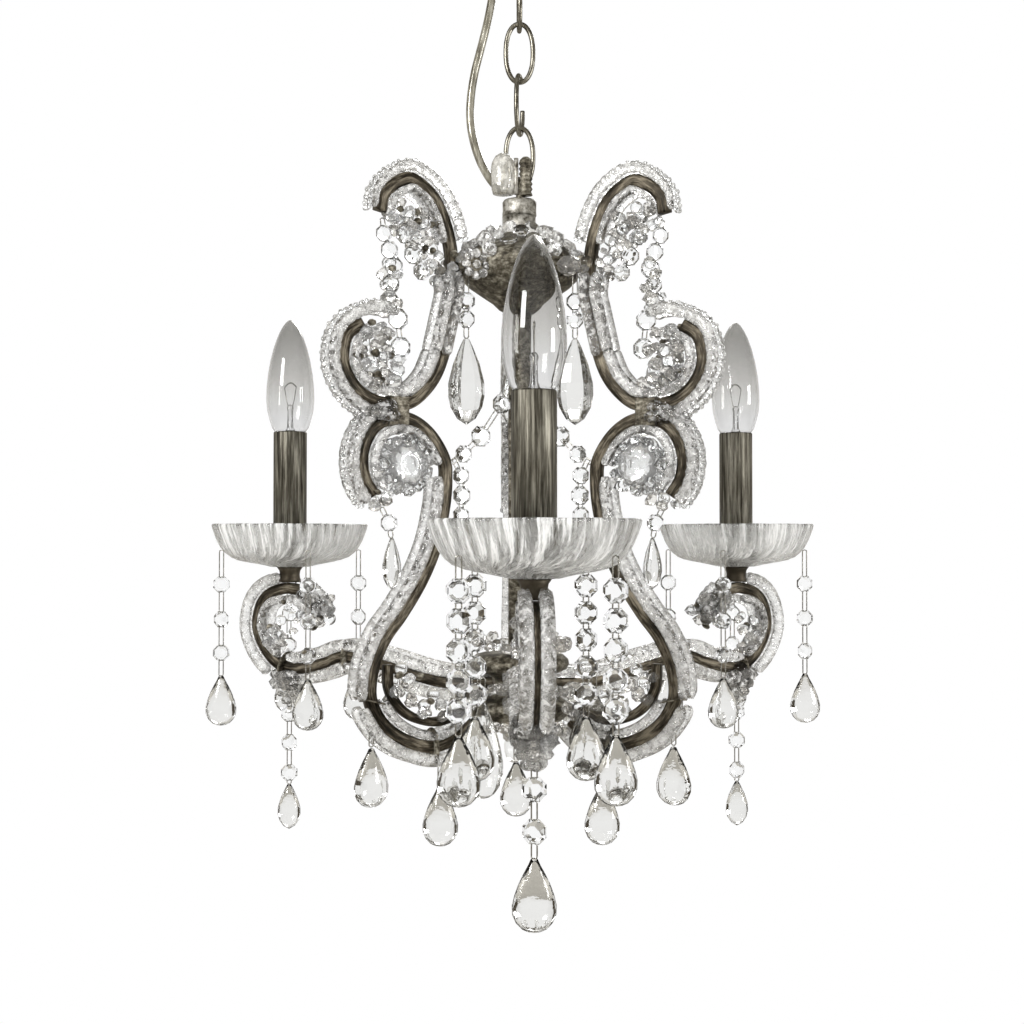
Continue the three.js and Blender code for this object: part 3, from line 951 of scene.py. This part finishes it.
EAR = [(104, 205), (102, 215), (94.5, 223), (84, 228), (75, 225), (66, 218), (59, 206), (54, 191)]
SPINE = [(51, 171), (49.5, 158), (52.5, 144), (59, 117), (67, 100)]
HOOK = [(80, 87), (92, 83.5), (108, 85), (120, 91.5), (128, 103), (129.5, 114), (126, 126), (116, 133)]
LOWER_HOOK = [
    (108, 26), (114.5, 36), (116.5, 49), (113, 61.5), (105, 71), (92, 75.5), (79, 73), (67, 64), (58, 50),
]
SIDE = [(56.5, 38), (58, 20), (64, -5), (74, -27), (88, -48), (100, -63), (108, -80)]
FOOT = [(110.5, -97), (107, -109), (99, -119.5), (86, -128), (68, -133.5), (52, -130), (38.5, -119)]
EYE, EYE_RING = (86, 46), 15.5  # the flower inside the lower hook, and the ring of stones round it
HOOK_RIM = [(106, 136), (95, 134)]
FOOT_BAND = [(98, -80), (97, -95), (90, -107), (78, -115), (62, -118), (44, -113)]


def thin_band(_i, _share):
    return [(a * MM, b * MM) for a, b in ((-2.6, -2.8), (2.6, -2.8), (2.6, 2.8), (-2.6, 2.8))]


def scroll_frame(number, angle):
    place = raised() @ facing(angle)
    parts = [
        swept("upper", EAR + SPINE + HOOK, strap_section, STRAP, 1.5 * MM, place=place),
        swept("lower", LOWER_HOOK + SIDE + FOOT, strap_section, STRAP, 1.5 * MM, place=place),
    ]
    for size, x, z in (((14, 10, 19), 92, 79.5), ((9.6, 6, 9), 46.9, 179)):
        parts.append(bevelled_block("clip", size, place @ shift(x, 0, z), METAL))
    finished(joined(f"scroll_straps_{number}", parts), "fixture", "aged_nickel", f"scroll_frame_{number}")

    def cover(part, points, *rows, **more):
        rods(f"glass_{part}_{number}", points, place, rows, **more)

    left = (ROD_LEFT, 1.0, 0.0)
    thin_left, thin_right = (ROD_LEFT, 0.7, 0.0), (-ROD_LEFT, 0.7, 0.0)
    fat_right = (-ROD_LEFT, 0.88, 0.12)
    cover("ear", EAR, thin_left, fat_right, taper=0.55, nodes=[f"ear_glass_{number}"])
    cover("spine", SPINE[:4], left)
    cover("over_spine", SPINE[:4], (0.0, 0.8, 0.0), glass=FROSTED)
    cover("bend", SPINE[3:] + HOOK[:2], left)
    cover("hook", HOOK[1:] + HOOK_RIM, thin_left, fat_right)
    cover("low_hook", LOWER_HOOK[:6], thin_left, (-ROD_LEFT, 0.95, 0.12))
    cover("low_neck", LOWER_HOOK[5:], thin_left)
    cover("side", SIDE + [(110.2, -92), (109.4, -100)], left, nodes=[f"side_glass_{number}"])
    cover("foot", [(108.7, -104), *FOOT[1:]], left, thin_right)
    inner = swept(f"foot_band_{number}", FOOT_BAND, thin_band, STRAP, 1.5 * MM, place=place)
    finished(inner, "fixture", "aged_nickel")
    bands(f"frame_bands_{number}", ((109.1, -102, -76), (66, -133, 178)), place)
    frame_crystals(number, place)


def bevelled_block(name, size, place, material):
    mesh = bpy.data.meshes.new(name)
    made = placed(name, mesh)
    shape = bmesh.new()
    bmesh.ops.create_cube(shape, size=1)
    bmesh.ops.scale(shape, vec=Vector(size) * MM, verts=shape.verts)
    bmesh.ops.bevel(shape, geom=shape.edges[:], offset=0.8 * MM, segments=2, affect="EDGES", profile=0.5)
    shape.to_mesh(mesh)
    shape.free()
    mesh.transform(place)
    mesh.materials.append(material)
    return made


def frame_crystals(number, place):
    """The beads and stones that fill the scrolls, hang from their tips and run as a swag to the stem."""
    pile = Pile(f"frame_crystals_{number}")
    lace(pile, EAR, -1, place, 11.2, 0.6)
    lace(pile, HOOK[1:] + HOOK_RIM, -1, place)
    lace(pile, LOWER_HOOK[:6], -1, place)
    for centre, reach, count, size in (
        ((88, 203), (10, 10), 14, 4.8), ((76, 196), (10, 13), 16, 5), ((66, 178), (7, 10), 9, 4.7),
        ((59, 166), (5, 7), 4, 4.4), ((106, 110), (15, 16), 28, 5.3), ((108, 130), (9, 5), 6, 4.6),
        ((102, 98), (12, 4), 5, 5.6), ((103, 24), (8, 7), 7, 4.6), ((96, 160), (4, 17), 9, 4.8),
        ((50, 178), (6, 8), 6, 5), ((88, -92), (11, 12), 11, 5), ((66, -108), (14, 9), 11, 5),
        ((44, -110), (8, 8), 7, 5.4),
    ):
        cluster(pile, place, centre, reach, count, size)
    for i in range(22):
        turn = 2 * math.pi * i / 11
        across = (3 if i % 2 else -3) + rng.uniform(-1, 1)
        out = EYE_RING * math.cos(turn), EYE_RING * math.sin(turn)
        spot = Vector((EYE[0] + 1 + out[0], across, EYE[1] - 1 + out[1]))
        stone = stone_data(rng.uniform(4.5, 6.5))
        turned = place @ Matrix.Translation(spot * MM) @ any_turn()
        pile.add(stone, turned, MILKY if i % 4 == 1 else CRYSTAL)
    pile.add(rosette_data(12), place @ shift(EYE[0], -4, EYE[1]), MILKY, True)
    on_eye = shift(EYE[0], 4, EYE[1]) @ Matrix.Rotation(math.pi, 4, "Z")
    pile.add(rosette_data(12), place @ on_eye, MILKY, True)
    pile.string([
        (101, 191, 5.5), (97, 181, 6), (94, 171, 6.5), (96, 160, 6), (97, 149, 6.5), (91, 138, 7),
        (89, 120, 7),
    ], place, (102, 200))
    pile.string([(86.5, 192, 6), (80, 180, 6.5), (74, 170, 6)], place, (84, 205))
    pile.string([(14, 88, 6.8), (30, 66, 7.2), (43, 54, 6)], place, (8, 100), (52, 48))
    pile.string([(45, 40, 6), (44.5, 27, 6.5), (45, 14, 6), (46, 2, 6)], place, (50, 50))
    pile.string([(97, 9, 5.8)], place, (102, 18), (95.5, 0))
    outer = place @ shift(95, 0, 0)
    pile.add(drop_data(33, 6.4, 12, 0.7, True), outer, DROP, True)
    pile.string([(109, -118, 2.5)], place, (109, -108), (109, -130))
    pile.add(drop_data(37, 11.4), place @ shift(109, 0, -131), DROP, True)
    finished(pile.make(), "fixture", "crystal_glass")


ARM = [(18.8, -98), (60, -99), (105, -90), (138, -85), (157, -90.5), (173, -94.5), (188, -96)]
ARM_CURL = [(200, -92.5), (210, -84), (217, -73), (219, -62), (215, -49), (206, -41), (192, -37.5)]
ARM_TIP = [(178, -40), (168, -47.5), (161, -58)]


def arm(number, angle):
    place = raised() @ facing(angle)
    route = ARM + ARM_CURL + ARM_TIP
    metal = swept(f"arm_strap_{number}", route, strap_section, STRAP, 1.5 * MM, place=place)
    finished(metal, "fixture", "aged_nickel", f"arm_{number}")
    left, right = (ROD_LEFT, 1.0, 0.0), (-ROD_LEFT, 1.0, 0.0)
    rods(f"glass_arm_{number}", ARM, place, (left, right), glass=ARM_GLASS, sides=ARM_SIDES)
    rods(f"glass_arm_curl_{number}", ARM_CURL, place, ((ROD_LEFT, 0.8, 0.0), (-ROD_LEFT, 1.0, 0.05)))
    rods(f"glass_arm_tip_{number}", ARM_TIP, place, ((5.5, 0.9, 0.2), (-5.5, 0.9, 0.2), (0.0, 0.9, 0.2)))
    bands(f"arm_bands_{number}", ((138, -85, 0), (194, -95, 15)), place)
    pile = Pile(f"arm_crystals_{number}")
    cluster(pile, place, (165, -54), (12, 12), 18, 5.4, (2.0, 8.0))
    cluster(pile, place, (202, -72), (5, 13), 9, 4.8)
    cluster(pile, place, (190, -58), (2, 16), 5, 4)
    cluster(pile, place, (192, -103), (8, 7), 9, 6.5)
    rings = ((8, 9.5, -101, 5.4), (7, 8.5, -107, 5.2), (5, 6, -113, 5), (4, 3, -119, 4.6))
    for count, ring, height, size in rings:
        for i in range(count):
            turn = Matrix.Rotation(2 * math.pi * i / count, 4, "Z")
            spot = Matrix.Translation((ARM_REACH, 0, height * MM)) @ turn
            stone = place @ spot @ Matrix.Translation((ring * MM, 0, 0)) @ any_turn()
            pile.add(stone_data(size), stone, ARM_GLASS if i % 2 else STONE)
    finished(pile.make(), "fixture", "crystal_glass")


# ---------------- candles
SLEEVE_RADIUS = 12.1


def candle(number, angle):
    place = raised() @ facing(angle) @ Matrix.Translation((ARM_REACH, 0, 0))
    cup_profile = [
        (5.8, -33), (7.6, -33), (8.2, -31.6), (7.4, -29.6), (7.2, -27.4), (7.6, -24.6), (9.4, -22),
        (5.8, -22), (5.8, -33),
    ]
    cup = lathe(f"cup_body_{number}", cup_profile, STRAP, 48, place=place)
    finished(cup, "fixture", "aged_nickel", f"cup_{number}")
    dish(number, place)
    outer, inner = SLEEVE_RADIUS, SLEEVE_RADIUS - 0.9
    sleeve_profile = [
        (inner, -17.8), (outer, -17.8), (outer, 76.2), (outer - 0.4, 77), (inner, 76.6), (inner, -17.8),
    ]
    sleeve = lathe(f"sleeve_tube_{number}", sleeve_profile, SLEEVE, 64, place=place)
    finished(sleeve, "fixture", "sleeve_metal", f"candle_sleeve_{number}")
    holder = lathe(
        f"lamp_holder_{number}",
        [(0, -32.4), (5.4, -32.4), (5.4, 28), (10.3, 30), (10.5, 72.6), (6.7, 72.8), (6.6, 43.2), (0, 43.2)],
        SOCKET, 40, place=place,
    )
    finished(holder, "fixture", "socket_plastic", f"socket_{number}")
    bulb(number, place)


DISH_OUTSIDE = [
    (6.6, -21.8), (10, -21.8), (14, -21.2), (18, -19.8), (25, -18.4), (32, -17.2), (38, -15.8), (43, -13.8),
    (46.6, -11.2), (49.6, -7.6), (52, -3.2), (54, 1.8), (55.4, 6), (56, 8.4),
]
DISH_INSIDE = [
    (55.6, 9.4), (54.4, 8.8), (52.6, 4.6), (50, -1), (47.4, -5.4), (44.2, -8.8), (40.6, -11.2), (36.4, -12.8),
    (31.4, -14), (25, -15.2), (18, -16.4), (14, -17.8), (10, -18.6), (6.6, -18.6),
]
DISH_LEAVES = 12


def dish_data(steps=288):
    """A dish pressed with leaves that fan out from its middle and end in low lobes round the rim."""
    verts, faces = lathe_data([*DISH_OUTSIDE, *DISH_INSIDE, DISH_OUTSIDE[0]], steps)
    shaped, flow = [], []
    for i, v in enumerate(verts):
        radius = math.hypot(v[0], v[1]) / MM
        turn = math.atan2(v[1], v[0]) + 0.25 * math.sin(radius / 11)
        leaf = abs(math.sin(turn * DISH_LEAVES / 2)) ** 0.7
        vein = abs(math.sin(turn * DISH_LEAVES * 2))
        fan = min(1.0, max(0.0, (radius - 9) / 9))
        wall = min(1.0, max(0.0, (radius - 43) / 8))
        outside = 1.0 if i < steps * len(DISH_OUTSIDE) else 0.25
        relief = outside * fan * (1.5 * leaf + 0.5 * vein - 1.0)
        out = 1 + wall * 0.7 * relief / 54
        lift = 0.25 * wall * (leaf - 0.5) - relief * (1 - wall)
        shaped.append((v[0] * out, v[1] * out, v[2] + lift * MM))
        flow += flow_round(turn, radius)
    return shaped, faces, flow


def flow_round(turn, radius):
    """A stored flow that runs outwards from an axis, without a seam."""
    return [30 * MM * math.cos(turn), 30 * MM * math.sin(turn), 0.2 * radius * MM]


def dish(number, place):
    """The pressed candle dish, with a small fluted cup in the middle that holds the sleeve."""
    verts, faces, flow = dish_data()
    body = new_object(f"dish_body_{number}", verts, faces, MOULDED, True, place, flow)
    petals = [
        (12.7, -16.2), (16, -16.2), (15, -12), (15.6, -6), (18.4, 1), (22.5, 6), (22.8, 7.4), (21.4, 7.6),
        (17, 3), (14.2, -4), (12.7, -12), (12.7, -16.2),
    ]
    verts, faces = lathe_data(petals, 144, waves=12, depth=0.12, wave_from=0.5)
    flow = []
    for v in verts:
        flow += flow_round(math.atan2(v[1], v[0]), v[2] / MM)
    cup = new_object(f"dish_cup_{number}", verts, faces, BOSS, True, place, flow)
    finished(joined(f"dish_glass_{number}", [body, cup]), "fixture", "crystal_glass", f"candle_dish_{number}")


BULB_OUTSIDE = [
    (6.2, 74.6), (8.2, 76.2), (11.4, 77.6), (13.2, 80), (15, 85.6), (16.8, 93), (17.4, 101), (17.2, 109),
    (16.2, 119), (14.4, 129.5), (12, 139), (9, 147.6), (6.4, 153), (3.8, 157), (1.6, 159), (0, 159.5),
]


def bulb(number, place):
    wall = 0.55
    inside = [(max(0.0, r - wall), z - (wall if r < 4 else 0.15)) for r, z in reversed(BULB_OUTSIDE)]
    shell = [*BULB_OUTSIDE, *inside, BULB_OUTSIDE[0]]
    glass = lathe(f"bulb_glass_{number}", shell, BULB_GLASS, 64, place=place)
    cap = [(0, 45.2), (2, 45.2), (3, 46.6), (5.6, 48), (6.1, 49), (6.1, 74.4), (0, 74.4)]
    base = lathe(f"bulb_base_{number}", cap, SILVER, 40, place=place)
    mount = [(0, 74.5), (4.2, 74.5), (3.6, 78), (2.2, 82), (1.9, 92), (2.6, 95), (1.4, 97), (0, 97.4)]
    stem = lathe(f"bulb_mount_{number}", mount, BULB_GLASS, 32, place=place)
    wires = []
    for side in (1, -1):
        lead = [(side * 1.2, 0, 80), (side * 1.4, 0, 94), (side * 3.6, 0, 101), (side * 5.4, 0, 110)]
        wires.append(tube("lead", [Vector(p) * MM for p in lead], 0.28 * MM, PIN, sides=8, place=place))
    coil = []
    for i in range(121):
        share, turn = i / 120, i * 1.1
        height = 110 + 3.2 * math.sin(math.pi * share) + 0.5 * math.sin(turn)
        coil.append(Vector((-5.4 + 10.8 * share, 0.5 * math.cos(turn), height)) * MM)
    wires.append(tube("coil", coil, 0.13 * MM, PIN, sides=6, place=place))
    whole = joined(f"bulb_lamp_{number}", [glass, base, stem, *wires])
    finished(whole, f"bulb_{number}", "bulb_glass", f"bulb_{number}")


# ---------------- hanging strands, one for each CAD strand
BEAD_TURNS = (8, -24, 20, -12)
STRAND_TURNS = (52, 142, 218, 308)


def strand(node, spot, top, beads, bead, tip, length, radius, slim=False, cut=False):
    """A strand hung at spot: beads at these heights, then a drop from tip down, round or flat-cut."""
    pile = Pile("hung_" + node)
    pile.string([(0, height, bead) for height in beads], spot, (0, top), (0, tip), BEAD_TURNS)
    if not beads:
        pile.pin((0, 0, top * MM), (0, 0, tip * MM), spot)
    shape = drop_data(length, radius, 10 if cut else 20, slim=slim)
    pile.add(shape, spot @ Matrix.Translation((0, 0, tip * MM)), DROP, not cut)
    finished(pile.make(), node, "crystal_glass", node)


def hanging_at(angle, out, turn=0.0, ring=0.0):
    """A spot out along an angle, and round a ring there, turned so that beads face the front."""
    spot = raised() @ facing(angle) @ Matrix.Translation((out, 0, 0))
    spot = spot @ rotation(turn, "Z") @ Matrix.Translation((ring, 0, 0))
    return Matrix.Translation(spot.translation)


def strands():
    for number, angle in enumerate(ARM_ANGLES, 1):
        front = number == 1
        for i, turn in enumerate(STRAND_TURNS, 1):
            spot = hanging_at(angle, ARM_REACH, turn, 50 * MM)
            beads, size = ((-27, -42, -57, -72, -87), 6.9) if front else ((-34, -59, -83), 6.2)
            strand(f"dish_strand_{number}_{i}", spot, -10, beads, size, -99, 36, 11)
        spot = hanging_at(angle, ARM_REACH)
        if front:
            strand(f"arm_drop_{number}", spot, -110, (-132, -154), 7, -167.5, 39, 11.8)
        else:
            strand(f"arm_drop_{number}", spot, -110, (-129, -150, -172), 6.4, -180, 33, 8.3, slim=True)
    for number, angle in enumerate(FRAME_ANGLES, 1):
        strand(f"frame_drop_{number}", hanging_at(angle, 60 * MM), -147, (), 0, -159, 39, 11.4)
        spot = hanging_at(angle, 41 * MM)
        strand(f"crown_drop_{number}", spot, 172, (154, 142), 6, 130, 57, 12, slim=True, cut=True)


# ---------------- floor and light
def sky():
    """A white studio. What the glass bends is bright round the horizon with dark flags to the sides, and
    what it mirrors is darker and warm."""
    world = bpy.data.worlds.new("world")
    scene.world = world
    world.use_nodes = True
    w = Nodes(world.node_tree)
    split = w.node("SeparateXYZ")
    w.link(w.node("TexCoord").outputs["Generated"], split.inputs[0])
    height = w.math("MULTIPLY_ADD", split.outputs["Z"], 0.5, 0.5)  # 0 straight down, 1 straight up
    dark = (0.05, 0.038, 0.022)
    bent = w.ramp(
        height, (0.0, (0.6, 0.58, 0.54)), (0.2, (0.74, 0.72, 0.68)), (0.32, grey(1)), (0.68, grey(1)),
        (0.82, (0.78, 0.76, 0.72)), (1.0, (0.6, 0.58, 0.54)),
    )
    sideways = w.math("ABSOLUTE", split.outputs["X"])
    flag = w.math("MULTIPLY", w.math("GREATER_THAN", sideways, 0.8), w.math("LESS_THAN", sideways, 0.96))
    bent = w.mix(flag, bent, dark)
    mirrored = w.ramp(
        height, (0.0, (0.09, 0.075, 0.05)), (0.35, (0.24, 0.21, 0.165)), (0.5, (0.55, 0.53, 0.49)),
        (0.62, (0.4, 0.38, 0.34)), (0.8, (0.1, 0.085, 0.06)), (1.0, (0.6, 0.58, 0.53)),
    )
    seen = w.node("LightPath")
    mirror = w.math("MULTIPLY", seen.outputs["Is Reflection Ray"], seen.outputs["Is Glossy Ray"])
    colour = w.mix(mirror, bent, mirrored)
    colour = w.mix(seen.outputs["Is Camera Ray"], colour, grey(1))
    w.link(colour, w.tree.nodes["Background"].inputs["Color"])


# Each lamp's name, where it stands round the datum, its size and its power.
LAMPS = (
    ("key", (-1.5, -1.7, 1.0), 0.7, 34),
    ("fill", (1.9, -1.0, 0.3), 0.6, 16),
    ("back", (0.4, 1.9, 1.3), 0.8, 14),
)


def stage():
    floor = lathe("floor", [(0, -1200), (2000, -1200), (2000, -1210), (0, -1210)], SOCKET, 64, place=raised())
    sky()
    for name, place, size, power in LAMPS:
        data = bpy.data.lights.new(name, "AREA")
        data.size, data.energy = size, power
        lamp = placed(name, data)
        lamp.location = Vector(place) + Vector((0, 0, DATUM))
        lamp.rotation_euler = (Vector((0, 0, DATUM)) - lamp.location).to_track_quat("-Z", "Y").to_euler()


make_camera()
cord()
chain()
ceiling()
fixture_loop()
bell()
stem_and_hub()
for number, angle in enumerate(FRAME_ANGLES, 1):
    scroll_frame(number, angle)
for number, angle in enumerate(ARM_ANGLES, 1):
    arm(number, angle)
    candle(number, angle)
strands()
stage()
